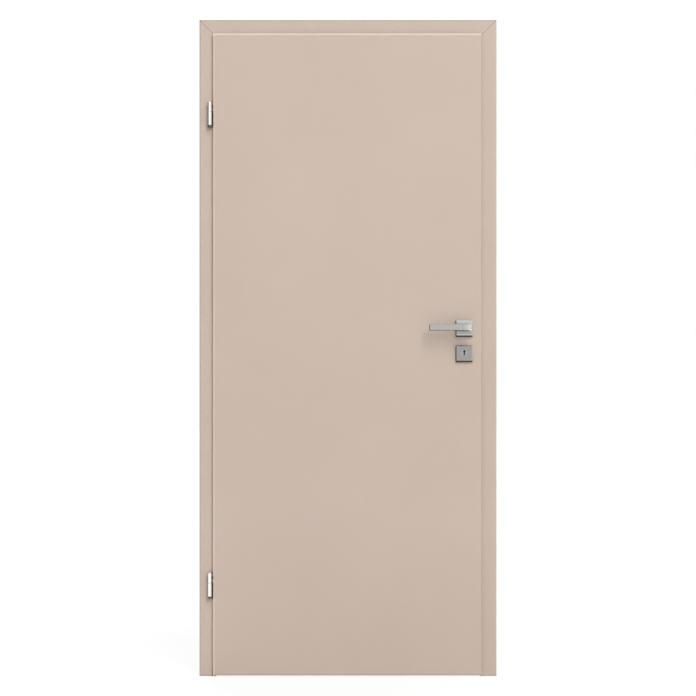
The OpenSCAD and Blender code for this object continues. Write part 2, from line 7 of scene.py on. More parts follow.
import logging
import math
from dataclasses import dataclass, field
from enum import Enum
from typing import ClassVar, Iterable, Optional, Sequence, Union

import bmesh
import bpy
from mathutils import Matrix, Vector


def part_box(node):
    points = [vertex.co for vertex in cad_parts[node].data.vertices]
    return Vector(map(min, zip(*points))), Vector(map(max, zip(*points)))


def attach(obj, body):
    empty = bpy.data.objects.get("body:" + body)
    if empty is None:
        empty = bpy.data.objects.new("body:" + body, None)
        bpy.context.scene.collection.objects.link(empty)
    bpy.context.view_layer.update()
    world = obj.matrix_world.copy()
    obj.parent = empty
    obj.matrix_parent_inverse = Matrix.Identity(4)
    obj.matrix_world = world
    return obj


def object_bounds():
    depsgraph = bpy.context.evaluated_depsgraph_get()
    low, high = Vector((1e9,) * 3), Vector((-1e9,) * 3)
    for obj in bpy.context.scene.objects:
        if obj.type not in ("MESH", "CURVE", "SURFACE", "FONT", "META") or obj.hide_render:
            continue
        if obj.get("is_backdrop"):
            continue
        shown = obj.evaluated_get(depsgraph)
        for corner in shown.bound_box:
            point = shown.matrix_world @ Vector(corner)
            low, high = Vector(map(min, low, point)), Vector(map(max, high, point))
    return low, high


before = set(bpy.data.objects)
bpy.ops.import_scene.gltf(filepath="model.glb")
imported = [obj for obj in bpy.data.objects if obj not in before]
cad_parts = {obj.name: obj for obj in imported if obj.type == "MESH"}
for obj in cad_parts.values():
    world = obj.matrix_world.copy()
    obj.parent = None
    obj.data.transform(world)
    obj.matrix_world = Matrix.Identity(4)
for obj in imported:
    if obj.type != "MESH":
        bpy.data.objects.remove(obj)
LOG = logging.getLogger("door")

MM = 0.001
Colour = tuple[float, float, float]
Range = tuple[float, float]
Value = Union[float, bpy.types.NodeSocket]

# Least and greatest share of the colour over the faint spots of a finish.
MOTTLE = (0.985, 1.015)
# How far a band that starts at an outer edge is laid past it.
PAST_EDGE = 1 * MM
# Angle above which an edge of an added piece is sharp.
CREASE = math.radians(35)


def srgb(red: int, green: int, blue: int) -> Colour:
    """Turns display values into the linear colour that a shader takes.

    Args:
        red: Red from 0 to 255.
        green: Green from 0 to 255.
        blue: Blue from 0 to 255.

    Returns:
        The linear colour.
    """
    def one(value: int) -> float:
        """Linear value of one channel."""
        share = value / 255
        return share / 12.92 if share <= 0.04045 else ((share + 0.055) / 1.055) ** 2.4

    return one(red), one(green), one(blue)


class Grain(Enum):
    """Direction in which a metal is brushed, as the axis that its scratches run along."""

    ALONG_X = (0.03, 1.0, 1.0)
    ALONG_Z = (1.0, 1.0, 0.03)


class Bench:
    """A material's node tree, with short calls that add and join its nodes.

    Attributes:
        material: The material.
        tree: Its node tree.
        output: The tree's output node.
        place: Place of a spot in the object's own space.
        direction: Direction that the surface faces there, in the same space.
    """

    def __init__(self, name: str) -> None:
        """Starts an empty material.

        Args:
            name: Name of the material.
        """
        self.material = bpy.data.materials.new(name)
        self.lay_out(self.material, "ShaderNodeOutputMaterial")
        spot = self.tree.nodes.new("ShaderNodeTexCoord").outputs
        self.place, self.direction = spot["Object"], spot["Normal"]

    def lay_out(self, owner: bpy.types.ID, output: str) -> None:
        """Empties a node tree but for its output.

        Args:
            owner: The material or world that has the tree.
            output: Blender's name of the output node's type.
        """
        owner.use_nodes = True
        self.tree = owner.node_tree
        self.tree.nodes.clear()
        self.output = self.tree.nodes.new(output)

    def node(self, kind: str, values: Optional[dict] = None, **settings: object) -> bpy.types.Node:
        """Adds one node.

        Args:
            kind: Blender's name of the node's type.
            values: Input values by socket name or number. A socket given as value is linked.
            **settings: Properties of the node itself.

        Returns:
            The new node.
        """
        made = self.tree.nodes.new(kind)
        for key, setting in settings.items():
            setattr(made, key, setting)
        for key, value in (values or {}).items():
            if isinstance(value, bpy.types.NodeSocket):
                self.tree.links.new(value, made.inputs[key])
            else:
                made.inputs[key].default_value = value
        return made

    def join(self, operation: str, first: Value, second: Value = 0.0) -> bpy.types.NodeSocket:
        """Works out one value from one or two others.

        Args:
            operation: Blender's name of the sum.
            first: First value or socket.
            second: Second value or socket.

        Returns:
            The result.
        """
        return self.node("ShaderNodeMath", {0: first, 1: second}, operation=operation).outputs[0]

    def axes(self, place: bpy.types.NodeSocket) -> tuple[bpy.types.NodeSocket, ...]:
        """Splits a place or a direction into its parts.

        Args:
            place: The place or direction.

        Returns:
            Its parts along X, Y and Z.
        """
        return tuple(self.node("ShaderNodeSeparateXYZ", {0: place}).outputs)

    def shade(self, colour: bpy.types.NodeSocket, tone: bpy.types.NodeSocket) -> bpy.types.NodeSocket:
        """Makes a colour lighter or darker by a pattern.

        Args:
            colour: The colour.
            tone: The pattern, 1 where the colour stays.

        Returns:
            The shaded colour.
        """
        return self.node("ShaderNodeHueSaturation", {"Color": colour, "Value": tone}).outputs["Color"]

    def noise(self, size: float, detail: float = 2.0, stretch: Optional[Sequence[float]] = None,
              roughness: float = 0.5) -> bpy.types.NodeSocket:
        """Adds a noise pattern in the object's own space.

        Args:
            size: Size of the pattern's spots in metres.
            detail: Number of finer layers.
            stretch: Scale of the pattern along each axis, for grain.
            roughness: Strength of the finer layers.

        Returns:
            The pattern's value.
        """
        place = self.place
        if stretch is not None:
            place = self.node("ShaderNodeMapping", {"Vector": place, "Scale": stretch}).outputs[0]
        values = {"Vector": place, "Scale": 1 / size, "Detail": detail, "Roughness": roughness}
        return self.node("ShaderNodeTexNoise", values).outputs["Fac"]

    def spread(self, value: bpy.types.NodeSocket, low: Value, high: Value,
               start: float = 0.3, end: float = 0.7) -> bpy.types.NodeSocket:
        """Spreads a pattern's middle range over new limits.

        Args:
            value: The pattern.
            low: Result at start.
            high: Result at end.
            start: Lowest value of the pattern that counts.
            end: Highest value of the pattern that counts.

        Returns:
            The new value.
        """
        values = {"Value": value, "From Min": start, "From Max": end, "To Min": low, "To Max": high}
        return self.node("ShaderNodeMapRange", values).outputs["Result"]

    def strip(self, value: bpy.types.NodeSocket, start: float, end: float, inside: float,
              outside: float = 1.0, soft: float = 0.5 * MM) -> bpy.types.NodeSocket:
        """Gives one value within limits and another beyond them.

        Args:
            value: The value that the limits are for.
            start: Lower limit.
            end: Upper limit.
            inside: Result between the limits.
            outside: Result beyond them.
            soft: Half the width of the change from one to the other.

        Returns:
            The result.
        """
        off = self.join("ABSOLUTE", self.join("SUBTRACT", value, (start + end) / 2))
        half = (end - start) / 2
        return self.spread(off, inside, outside, half - soft, half + soft)

    def tint(self, factor: bpy.types.NodeSocket, first: Colour, second: Colour) -> bpy.types.NodeSocket:
        """Blends two colours by a pattern.

        Args:
            factor: The pattern, 0 for the first colour and 1 for the second.
            first: First colour.
            second: Second colour.

        Returns:
            The blended colour.
        """
        ramp = self.node("ShaderNodeValToRGB", {"Fac": factor})
        ramp.color_ramp.elements[0].color = (*first, 1.0)
        ramp.color_ramp.elements[1].color = (*second, 1.0)
        return ramp.outputs["Color"]

    def rays(self) -> tuple[bpy.types.NodeSocket, bpy.types.NodeSocket]:
        """Tells the camera's rays and those of metal and glass from the rest.

        Returns:
            A value that is 1 for the camera's rays, and one that is 1 for those of metal and glass.
        """
        path = self.node("ShaderNodeLightPath").outputs
        mirrored = self.join("MAXIMUM", path["Is Glossy Ray"], path["Is Transmission Ray"])
        return path["Is Camera Ray"], mirrored

    def bump(self, height: bpy.types.NodeSocket, depth: float, strength: float = 1.0,
             below: Optional[bpy.types.NodeSocket] = None) -> bpy.types.NodeSocket:
        """Adds relief to the surface.

        Args:
            height: The pattern of heights.
            depth: Height of the relief in metres.
            strength: Share of the relief that shows.
            below: Relief under this one.

        Returns:
            The normal to give to the shader.
        """
        values = {"Height": height, "Distance": depth, "Strength": strength}
        if below is not None:
            values["Normal"] = below
        return self.node("ShaderNodeBump", values).outputs["Normal"]

    def surface(self, **inputs: object) -> bpy.types.Material:
        """Adds the main shader and joins it to the output.

        Args:
            **inputs: Values or sockets by input name, with underscores for spaces.

        Returns:
            The finished material.
        """
        values = {key.replace("_", " "): value for key, value in inputs.items()}
        shader = self.node("ShaderNodeBsdfPrincipled", values)
        self.tree.links.new(shader.outputs[0], self.output.inputs["Surface"])
        return self.material


class SkyBench(Bench):
    """A world's node tree, whose place is the direction that a ray takes."""

    def __init__(self, name: str) -> None:
        """Starts an empty world and hangs it in the scene.

        Args:
            name: Name of the world.
        """
        world = bpy.data.worlds.new(name)
        bpy.context.scene.world = world
        self.lay_out(world, "ShaderNodeOutputWorld")
        self.place = self.tree.nodes.new("ShaderNodeTexCoord").outputs["Generated"]


@dataclass(frozen=True)
class Laminate:
    """Satin laminate on board, with a fine pearl in its surface and a faint cloudiness.

    Attributes:
        name: Name of the finish.
        colour: Main colour.
        deep: Colour of the darker clouds.
        shine: Roughness of the surface.
        pearl: Size of the pearls.
        relief: Height of the pearls.
        cloud: Size of the clouds.
        wave: Size of the slow waves in the surface.
        swell: Height of the waves.
        mottle: Size of the spots that differ faintly in tone.
    """

    name: str
    colour: Colour
    deep: Colour
    shine: float = 0.42
    pearl: float = 0.9 * MM
    relief: float = 0.02 * MM
    cloud: float = 350 * MM
    wave: float = 60 * MM
    swell: float = 0.05 * MM
    mottle: float = 2.4 * MM

    def build(self) -> bpy.types.Material:
        """Makes the material.

        Returns:
            The material.
        """
        bench = Bench(self.name)
        clouds = bench.noise(self.cloud, detail=3.0)
        colour = bench.tint(bench.spread(clouds, 0.0, 1.0), self.colour, self.deep)
        pearls = bench.noise(self.pearl, detail=1.0)
        waves = bench.bump(bench.noise(self.wave, detail=1.0), self.swell, 0.5)
        return bench.surface(
            Base_Color=bench.shade(colour, self.tone(bench)),
            Roughness=bench.spread(pearls, self.shine - 0.04, self.shine + 0.05),
            Specular_IOR_Level=0.4,
            Normal=bench.bump(pearls, self.relief, 0.8, waves),
        )

    def tone(self, bench: Bench) -> bpy.types.NodeSocket:
        """Gives the share of its colour that each spot shows.

        Args:
            bench: The material's nodes.

        Returns:
            The share.
        """
        return bench.spread(bench.noise(self.mottle), *MOTTLE)


@dataclass(frozen=True)
class EdgedLaminate(Laminate):
    """Laminate with painted bands along its outer edges: a tone above 1 paints light on a band, one below 1
    paints shade.

    Attributes:
        left: Outer edge on the left.
        top: Outer edge on top.
        foot: Lower edge.
        left_edge: Width of the painted band on the left.
        top_edge: Width of the painted band on top.
        foot_shade_band: Width of the band of painted shade at the foot.
        left_tone: Share of the colour that shows on the left band, painted light above 1 and painted shade
            below 1.
        top_tone: Share of the colour that shows on the band on top, painted light above 1 and painted shade
            below 1.
        foot_tone: Share of the colour that shows in the painted shade at the foot.
    """

    left: float = 0.0
    top: float = 0.0
    foot: float = 0.0
    left_edge: float = 3 * MM
    top_edge: float = 6 * MM
    foot_shade_band: float = 5 * MM
    left_tone: float = 1.9
    top_tone: float = 1.35
    foot_tone: float = 0.86

    def tone(self, bench: Bench) -> bpy.types.NodeSocket:
        """Gives the share of its colour that each spot shows.

        Args:
            bench: The material's nodes.

        Returns:
            The share.
        """
        across, _, up = bench.axes(bench.place)
        # Painted bands on the left edge, the top and the foot: light where a tone is above 1, shade where it
        # is below 1.
        side = bench.strip(across, self.left - self.left_edge, self.left + self.left_edge, self.left_tone)
        top = bench.strip(up, self.top - self.top_edge, self.top + self.top_edge, self.top_tone)
        foot = bench.strip(up, self.foot - self.foot_shade_band, self.foot + self.foot_shade_band, self.foot_tone)
        stronger = "MAXIMUM" if self.top_tone > 1 else "MINIMUM"
        bands = bench.join("MULTIPLY", bench.join(stronger, side, top), foot)
        return bench.join("MULTIPLY", super().tone(bench), bands)


@dataclass(frozen=True)
class FrameLaminate(EdgedLaminate):
    """Laminate of the frame, with a hairline in each upper corner.

    Attributes:
        right: Outer edge on the right.
        corner: Reach of the hairlines down from the top.
        hairline: Half the width of a hairline.
        softness: Share of that width over which its edge fades.
        hairline_tone: Share of the colour that shows in a hairline.
    """

    right: float = 0.0
    corner: float = 72 * MM
    hairline: float = 0.65 * MM
    softness: float = 0.2
    hairline_tone: float = 0.24

    def tone(self, bench: Bench) -> bpy.types.NodeSocket:
        """Gives the share of its colour that each spot shows.

        Args:
            bench: The material's nodes.

        Returns:
            The share.
        """
        across, _, up = bench.axes(bench.place)
        rising = bench.join("SUBTRACT", bench.join("SUBTRACT", up, across), self.top - self.right)
        falling = bench.join("SUBTRACT", bench.join("ADD", up, across), self.top + self.left)
        off_mitre = bench.join("MINIMUM", bench.join("ABSOLUTE", rising), bench.join("ABSOLUTE", falling))
        line = bench.spread(off_mitre, self.hairline_tone, 1.0, self.hairline * (1 - self.softness),
                            self.hairline * (1 + self.softness))
        low = self.top - self.corner
        below = bench.spread(up, 1.0, 0.0, low - 1 * MM, low)
        return bench.join("MULTIPLY", super().tone(bench), bench.join("MAXIMUM", line, below))


@dataclass(frozen=True)
class BrushedMetal:
    """Metal with fine parallel scratches.

    Attributes:
        name: Name of the finish.
        colour: Colour of the metal.
        shine: Roughness of the surface.
        grain: Direction of the scratches.
        scratch: Width of a scratch.
        relief: Depth of the scratches.
        dim: Share of the colour in the deeper scratches.
        cloud: Size of the clouds in tone and gloss.
    """

    name: str
    colour: Colour
    shine: float
    grain: Grain
    scratch: float = 0.25 * MM
    relief: float = 0.0008 * MM
    dim: float = 0.92
    cloud: float = 14 * MM

    def build(self) -> bpy.types.Material:
        """Makes the material.

        Returns:
            The material.
        """
        bench = Bench(self.name)
        lines = bench.noise(self.scratch, detail=3.0, stretch=self.grain.value, roughness=0.6)
        dark = tuple(self.dim * part for part in self.colour)
        colour = bench.tint(bench.spread(lines, 0.0, 1.0), self.colour, dark)
        return bench.surface(
            Base_Color=bench.shade(colour, self.tone(bench)),
            Metallic=1.0,
            Roughness=bench.join("ADD", self.gloss(bench), bench.spread(lines, -0.02, 0.03)),
            Normal=bench.bump(lines, self.relief, 0.7),
        )

    def tone(self, bench: Bench) -> bpy.types.NodeSocket:
        """Gives the share of its colour that each spot shows.

        Args:
            bench: The material's nodes.

        Returns:
            The share.
        """
        return bench.spread(bench.noise(self.cloud), *MOTTLE)

    def gloss(self, bench: Bench) -> bpy.types.NodeSocket:
        """Gives the roughness of each spot between the scratches.

        Args:
            bench: The material's nodes.

        Returns:
            The roughness.
        """
        return bench.spread(bench.noise(self.cloud), self.shine - 0.015, self.shine + 0.02)


@dataclass(frozen=True)
class LeverNickel(BrushedMetal):
    """Nickel of the levers, with painted shade towards the leaf, on the neck and under the bar, and painted
    highlights on the heel.

    Attributes:
        middle: Depth of the middle of the leaf.
        heel: Outer end of the heel.
        foot: Lower edge of the bar.
        back_shade_tone: Share of the colour in the painted shade on the side towards the leaf, and twice
            that on the neck.
        under_shade_tone: Share of the colour in the painted shade on the rounded lower edge and at the free
            end.
        behind: Outward part of the surface's direction where the painted shade is full, and where it ends.
        beneath: The same for the part of its direction upwards or to the right.
        neck_depth: Distance from the middle of the leaf below which the neck carries painted shade.
        neck_fade: Length over which the painted shade on the neck fades out.
        heel_highlight_tone: Share of the colour in the painted highlight at the end of the heel.
        heel_reach: Distances from that end where the painted highlight starts, and where it is brightest.
        glint_highlight_tone: Share of the colour on the painted glint along the lower edge, near the heel.
        glint_band: Lower and upper limit of the painted glint above the lower edge.
        glint_reach: Distances from the end of the heel where the painted glint starts, and where it is
            brightest.
    """

    middle: float = 0.0
    heel: float = 0.0
    foot: float = 0.0
    back_shade_tone: float = 0.12
    under_shade_tone: float = 0.16
    behind: Range = (-0.5, -0.1)
    beneath: Range = (-0.8, -0.3)
    neck_depth: float = 64 * MM
    neck_fade: float = 10 * MM
    heel_highlight_tone: float = 1.25
    heel_reach: Range = (27 * MM, 13 * MM)
    glint_highlight_tone: float = 1.22
    glint_band: Range = (2.5 * MM, 5.5 * MM)
    glint_reach: Range = (66 * MM, 46 * MM)

    def tone(self, bench: Bench) -> bpy.types.NodeSocket:
        """Gives the share of its colour that each spot shows.

        Args:
            bench: The material's nodes.

        Returns:
            The share.
        """
        across, through, up = bench.axes(bench.place)
        aside, outward, upward = bench.axes(bench.direction)
        depth = bench.join("SUBTRACT", through, self.middle)
        away = bench.join("MULTIPLY", bench.join("SIGN", depth), outward)
        # Painted shade on the side facing the leaf, on the neck, on the rounded lower edge and at the free
        # end.
        back = bench.spread(away, self.back_shade_tone, 1.0, *self.behind)
        neck = bench.spread(bench.join("ABSOLUTE", depth), self.back_shade_tone * 2, 1.0,
                            self.neck_depth - self.neck_fade, self.neck_depth)
        under = bench.join("MINIMUM", bench.spread(upward, self.under_shade_tone, 1.0, *self.beneath),
                           bench.spread(aside, self.under_shade_tone * 2, 1.0, *self.beneath))
        shaded = bench.join("MINIMUM", bench.join("MINIMUM", back, neck), under)
        # Painted highlight on the heel and a painted glint along the lower edge near it.
        start, full = (self.heel - reach for reach in self.heel_reach)
        heel = bench.spread(across, 1.0, self.heel_highlight_tone, start, full)
        bottom, top = (self.foot + height for height in self.glint_band)
        line = bench.strip(up, bottom, top, self.glint_highlight_tone)
        start, full = (self.heel - reach for reach in self.glint_reach)
        glint = bench.spread(across, 1.0, line, start, full)
        bright = bench.join("MULTIPLY", heel, glint)
        return bench.join("MULTIPLY", super().tone(bench), bench.join("MULTIPLY", shaded, bright))


@dataclass(frozen=True)
class RoseNickel(BrushedMetal):
    """Nickel of the roses, with a satin face and polished edges, painted shade on the left and lower edges
    and deepening downwards, and painted light on the right and upper edges.

    Attributes:
        low: Height below which the painted shade is deepest.
        high: Height above which there is no painted shade.
        feet: Heights of the lower edges of the roses.
        deep: Share of the colour in the painted shade at the low height.
        foot_shade_band: Height of the band of painted shade along the lower edge.
        shaded_edge_tone: Share of the colour in the painted shade on the edges to the left and below.
        lit_edge_tone: Least share of the colour in the painted light on the edges to the right and above.
        lit: Part of its direction, to the right or upwards, where painted light on an edge starts and where
            it is full.
        unlit: Part of its direction to the right where an edge carries painted shade, and where it no longer
            does.
        flat: Outward part of its direction where the edges end, and where the face starts.
        glint_height: Height of the painted glint above the band of painted shade of the highest rose.
        glint_highlight_tone: Share of the colour on that painted glint.
        edge_shine: Roughness of the edges.
    """

    low: float = 0.0
    high: float = 1.0
    feet: tuple[float, ...] = ()
    deep: float = 0.57
    foot_shade_band: float = 4.5 * MM
    shaded_edge_tone: float = 0.15
    lit_edge_tone: float = 0.75
    lit: Range = (0.3, 0.5)
    unlit: Range = (-0.6, -0.4)
    flat: Range = (0.9, 0.98)
    glint_height: float = 4 * MM
    glint_highlight_tone: float = 1.4
    edge_shine: float = 0.1

    def face(self, bench: Bench) -> bpy.types.NodeSocket:
        """Tells the face from the edges.

        Args:
            bench: The material's nodes.

        Returns:
            1 on the face and 0 on the edges.
        """
        outward = bench.join("ABSOLUTE", bench.axes(bench.direction)[1])
        return bench.spread(outward, 0.0, 1.0, *self.flat)

    def tone(self, bench: Bench) -> bpy.types.NodeSocket:
        """Gives the share of its colour that each spot shows.

        Args:
            bench: The material's nodes.

        Returns:
            The share.
        """
        height = bench.axes(bench.place)[2]
        aside, _, upward = bench.axes(bench.direction)
        # Painted light on the edges to the right and above, over painted shade that deepens downwards.
        lit = bench.spread(bench.join("MAXIMUM", aside, upward), 0.0, self.lit_edge_tone, *self.lit)
        level = bench.join("MAXIMUM", bench.spread(height, self.deep, 1.0, self.low, self.high), lit)
        # Painted shade on the edges to the left and in a band along each rose's lower edge.
        edge = bench.spread(aside, self.shaded_edge_tone, 1.0, *self.unlit)
        for foot in self.feet:
            band = bench.strip(height, foot - PAST_EDGE, foot + self.foot_shade_band, self.shaded_edge_tone)
            edge = bench.join("MINIMUM", edge, band)
        # Painted glint above the lower band of the highest rose.
        glint_foot = max(self.feet) + self.foot_shade_band
        glint = bench.strip(height, glint_foot, glint_foot + self.glint_height, self.glint_highlight_tone)
        shaded = bench.join("MULTIPLY", level, bench.join("MULTIPLY", edge, glint))
        return bench.join("MULTIPLY", super().tone(bench), shaded)

    def gloss(self, bench: Bench) -> bpy.types.NodeSocket:
        """Gives the roughness of each spot between the scratches.

        Args:
            bench: The material's nodes.

        Returns:
            The roughness.
        """
        return bench.spread(self.face(bench), self.edge_shine, self.shine, 0.0, 1.0)


@dataclass(frozen=True)
class KeyholeNickel(BrushedMetal):
    """Nickel of the keyhole inserts, with painted shade that turns the inside of the keyhole black.

    Attributes:
        middle: Depth of the middle of the leaf.
        face: Distance of an insert's face from there.
        hole_shade_tone: Share of the colour in the painted shade inside the keyhole.
        hole_rim: Depths under the face where the painted shade is black, and where it ends.
    """

    middle: float = 0.0
    face: float = 0.0
    hole_shade_tone: float = 0.01
    hole_rim: Range = (0.8 * MM, 0.3 * MM)

    def tone(self, bench: Bench) -> bpy.types.NodeSocket:
        """Gives the share of its colour that each spot shows.

        Args:
            bench: The material's nodes.

        Returns:
            The share.
        """
        # Painted shade that blackens the walls of the keyhole.
        depth = bench.join("ABSOLUTE", bench.join("SUBTRACT", bench.axes(bench.place)[1], self.middle))
        black, clear = (self.face - rim for rim in self.hole_rim)
        hole = bench.spread(depth, self.hole_shade_tone, 1.0, black, clear)
        return bench.join("MULTIPLY", super().tone(bench), hole)


@dataclass(frozen=True)
class PolishedMetal:
    """Bright plated metal with a soft film on it, with painted shade beside the bright part of each barrel
    and at its lower end.

    Attributes:
        name: Name of the finish.
        colour: Colour of the metal.
        shine: Roughness of the surface.
        feet: Heights of the lower ends of the barrels.
        clear: Places across between which the barrels are bright, free of painted shade.
        side_shade_tone: Share of the colour that shows in the painted shade beside the bright part.
        cap: Length of the painted shade at the lower end of each barrel.
        cap_fade: Half the length over which that painted shade fades.
        cap_shade_tone: Share of the colour that shows there.
        film: Size of the clouds in the film.
        film_gloss: Least and greatest share of the roughness under the film.
        dim: Share of the colour under the thickest film.
        ripple: Size of the ripples in the plate.
        relief: Height of the ripples.
    """

    name: str
    colour: Colour
    shine: float
    feet: tuple[float, ...] = ()
    clear: Range = (-14.6 * MM, -6.1 * MM)
    side_shade_tone: float = 0.32
    cap: float = 8 * MM
    cap_fade: float = 0.8 * MM
    cap_shade_tone: float = 0.14
    film: float = 7 * MM
    film_gloss: Range = (0.7, 1.3)
    dim: float = 0.96
    ripple: float = 3 * MM
    relief: float = 0.004 * MM

    def build(self) -> bpy.types.Material:
        """Makes the material.

        Returns:
            The material.
        """
        bench = Bench(self.name)
        film = bench.noise(self.film, detail=3.0)
        dark = tuple(self.dim * part for part in self.colour)
        colour = bench.tint(bench.spread(film, 0.0, 1.0), self.colour, dark)
        across, _, height = bench.axes(bench.place)
        # Painted shade beside the bright strip of each barrel and at its lower end.
        tone = bench.strip(across, *self.clear, 1.0, self.side_shade_tone)
        for foot in self.feet:
            end = bench.strip(height, foot - PAST_EDGE, foot + self.cap, self.cap_shade_tone, soft=self.cap_fade)
            tone = bench.join("MINIMUM", tone, end)
        return bench.surface(
            Base_Color=bench.shade(colour, tone),
            Metallic=1.0,
            Roughness=bench.spread(film, *(self.shine * share for share in self.film_gloss)),
            Normal=bench.bump(bench.noise(self.ripple, detail=1.0), self.relief, 0.4),
        )


@dataclass(frozen=True)
class ZincPlate:
    """Zinc plated sheet with large dull crystals.

    Attributes:
        name: Name of the finish.
        colour: Colour of the bright crystals.
        dull: Colour of the dull crystals.
        crystal: Size of the crystals.
        gloss: Roughness of the bright and of the dull crystals.
        grit: Size of the grains in the surface.
        relief: Height of the grains.
    """

    name: str
    colour: Colour
    dull: Colour
    crystal: float = 5 * MM
    gloss: Range = (0.34, 0.52)
    grit: float = 1.1 * MM
    relief: float = 0.02 * MM

    def build(self) -> bpy.types.Material:
        """Makes the material.

        Returns:
            The material.
        """
        bench = Bench(self.name)
        values = {"Vector": bench.place, "Scale": 1 / self.crystal}
        crystal = bench.node("ShaderNodeTexVoronoi", values).outputs["Color"]
        shade = bench.node("ShaderNodeRGBToBW", {"Color": crystal}).outputs[0]
        return bench.surface(
            Base_Color=bench.tint(shade, self.colour, self.dull),
            Metallic=1.0,
            Roughness=bench.spread(shade, *self.gloss, 0.0, 1.0),
            Normal=bench.bump(bench.noise(self.grit), self.relief, 0.5),
        )


@dataclass(frozen=True)
class SoftSeal:
    """Soft sealing profile with a dull skin.

    Attributes:
        name: Name of the finish.
        colour: Main colour.
        dust: Colour of the faint bloom on it.
        bloom: Size of the spots of bloom.
        skin: Width of the lines in the skin.
        drawn: Scale of those lines along each axis, drawn out lengthways.
        gloss: Least and greatest roughness.
        relief: Height of the lines.
    """

    name: str
    colour: Colour
    dust: Colour
    bloom: float = 18 * MM
    skin: float = 0.5 * MM
    drawn: tuple[float, float, float] = (1.0, 1.0, 0.15)
    gloss: Range = (0.6, 0.75)
    relief: float = 0.02 * MM

    def build(self) -> bpy.types.Material:
        """Makes the material.

        Returns:
            The material.
        """
        bench = Bench(self.name)
        bloom = bench.noise(self.bloom, detail=4.0)
        skin = bench.noise(self.skin, detail=2.0, stretch=self.drawn)
        return bench.surface(
            Base_Color=bench.tint(bench.spread(bloom, 0.0, 1.0), self.colour, self.dust),
            Roughness=bench.spread(skin, *self.gloss),
            Sheen_Weight=0.15,
            Normal=bench.bump(skin, self.relief, 0.6),
        )


@dataclass
class Finishes:
    """Every finish of the door, made once.

    Attributes:
        leaf: Laminate of the leaf.
        lining: Laminate of the frame.
        nickel: Satin nickel of the levers.
        rose: Satin nickel of the roses.
        insert: Satin nickel of the keyhole inserts.
        bright: Bright plate of the hinges.
        steel: Brushed steel of forend and strike plate.
        zinc: Zinc plate of the hidden fittings.
        seal: The seals.
    """

    leaf: bpy.types.Material = field(init=False)
    lining: bpy.types.Material = field(init=False)
    nickel: bpy.types.Material = field(init=False)
    rose: bpy.types.Material = field(init=False)
    insert: bpy.types.Material = field(init=False)
    bright: bpy.types.Material = field(init=False)
    steel: bpy.types.Material = field(init=False)
    zinc: bpy.types.Material = field(init=False)
    seal: bpy.types.Material = field(init=False)

    def __post_init__(self) -> None:
        """Makes the materials."""
        beige = srgb(205, 188, 174)
        low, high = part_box("leaf_front_facing")
        # Painted light on the leaf's left and top edge bands, and painted shade at its foot.
        self.leaf = EdgedLaminate("leaf_laminate", beige, srgb(202, 184, 170), left=low.x, top=high.z,
                                  foot=low.z).build()
        low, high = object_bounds()
        # Painted shade along the frame's outer edges on the left and on top, and at its foot.
        self.lining = FrameLaminate("frame_laminate", beige, srgb(201, 184, 170), left=low.x,
                                    right=high.x, top=high.z, foot=low.z, top_edge=3.2 * MM,
                                    left_tone=0.84, top_tone=0.6).build()
        lower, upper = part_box("front_lever_rose")
        # Painted shade on the roses' left and lower edges and downwards, painted light on their right and
        # upper edges, and a painted glint.
        self.rose = RoseNickel("rose_nickel", srgb(213, 210, 205), 0.24, Grain.ALONG_X, low=lower.z,
                               high=upper.z, feet=(lower.z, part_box("front_key_rose")[0].z)).build()
        front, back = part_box("front_keyhole_insert")[0].y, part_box("back_keyhole_insert")[1].y
        middle = (front + back) / 2
        # Painted shade blackens the inside of each keyhole.
        self.insert = KeyholeNickel("insert_nickel", srgb(172, 172, 166), 0.26, Grain.ALONG_X,
                                    middle=middle, face=(back - front) / 2).build()
        low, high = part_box("front_lever")
        # Painted shade towards the leaf and under the bar, and painted highlights on the heel.
        self.nickel = LeverNickel("satin_nickel", srgb(187, 187, 182), 0.26, Grain.ALONG_X,
                                  middle=middle, heel=high.x, foot=low.z).build()
        feet = tuple(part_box(f"{level}_hinge_frame_part")[0].z for level in ("upper", "lower"))
        # Painted shade beside the bright part and at the lower end of each barrel.
        self.bright = PolishedMetal("hinge_nickel", srgb(254, 251, 247), 0.1, feet=feet).build()
        self.steel = BrushedMetal("lock_steel", srgb(190, 190, 188), 0.34, Grain.ALONG_Z).build()
        self.zinc = ZincPlate("zinc_plate", srgb(176, 178, 180), srgb(150, 153, 156)).build()
        self.seal = SoftSeal("seal", srgb(178, 160, 144), srgb(188, 172, 158)).build()


def dress(finish: bpy.types.Material, nodes: Iterable[str]) -> None:
    """Gives CAD nodes their finish.

    Args:
        finish: The material.
        nodes: Names of the nodes.
    """
    for name in nodes:
        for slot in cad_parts[name].material_slots:
            slot.material = finish
        LOG.info("dressed %s", name)


def add_piece(name: str, mesh: bmesh.types.BMesh, finish: bpy.types.Material, body: str) -> None:
    """Turns a bmesh into a piece that rides on a body.

    Args:
        name: Name of the piece.
        mesh: Its shape, which is freed here.
        finish: Its material.
        body: The body that it moves with.
    """
    bmesh.ops.recalc_face_normals(mesh, faces=mesh.faces)
    data = bpy.data.meshes.new(name)
    for face in mesh.faces:
        face.smooth = True
    mesh.to_mesh(data)
    mesh.free()
    data.set_sharp_from_angle(angle=CREASE)
    data.materials.append(finish)
    piece = bpy.data.objects.new(name, data)
    bpy.context.scene.collection.objects.link(piece)
    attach(piece, body)
    LOG.info("made %s", name)


